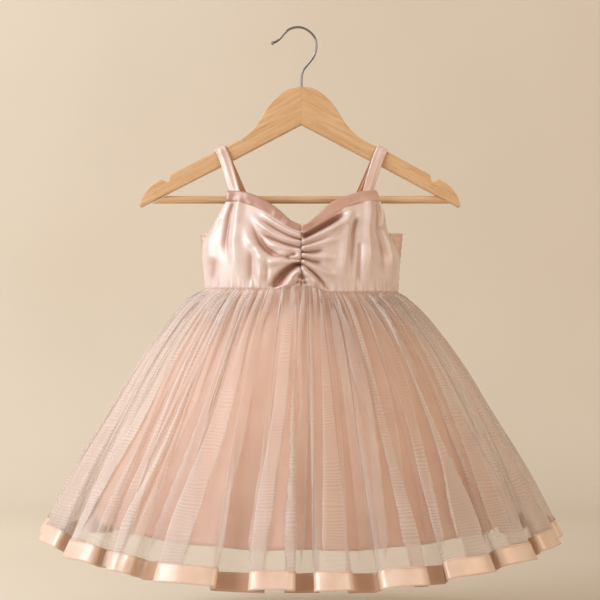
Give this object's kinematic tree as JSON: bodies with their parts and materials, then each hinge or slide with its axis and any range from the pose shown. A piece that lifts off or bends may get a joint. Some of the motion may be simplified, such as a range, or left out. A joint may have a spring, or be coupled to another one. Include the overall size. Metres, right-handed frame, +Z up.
{
  "type": "toddler party dress on a wooden hanger",
  "caption": "Sleeveless toddler party dress on a wooden hanger: ruched satin bodice on narrow straps, gathered net skirt with a ribbon hem over a plain lining.",
  "frame": {"origin": "inside of the hook's top, where a rod holds the hanger", "axes": "+Z up, the front of the dress faces -Y, +X to the right as seen from the front"},
  "size_m": [0.5771, 0.3719, 0.5911],
  "materials": {
    "hook_steel": "polished",
    "hanger_wood": "satin lacquer",
    "bar_wood": "satin lacquer",
    "bodice_satin": "satin weave",
    "band_satin": "satin weave",
    "strap_satin": "satin weave",
    "back_satin": "shirred satin weave",
    "skirt_tulle": "fine net",
    "lining_satin": "lining satin",
    "hem_ribbon": "glossy satin ribbon"
  },
  "bodies": {
    "root": {"hanger_hook": "hook_steel", "hanger_body": "hanger_wood", "hanger_bar": "bar_wood", "bodice_front_left": "bodice_satin", "bodice_front_right": "bodice_satin", "neck_band_left": "band_satin", "neck_band_right": "band_satin", "strap_left": "strap_satin", "strap_right": "strap_satin", "bodice_back": "back_satin", "tulle_front": "skirt_tulle", "tulle_back": "skirt_tulle", "lining_front": "lining_satin", "lining_back": "lining_satin", "ribbon_front": "hem_ribbon", "ribbon_back": "hem_ribbon"}
  },
  "joints": []
}
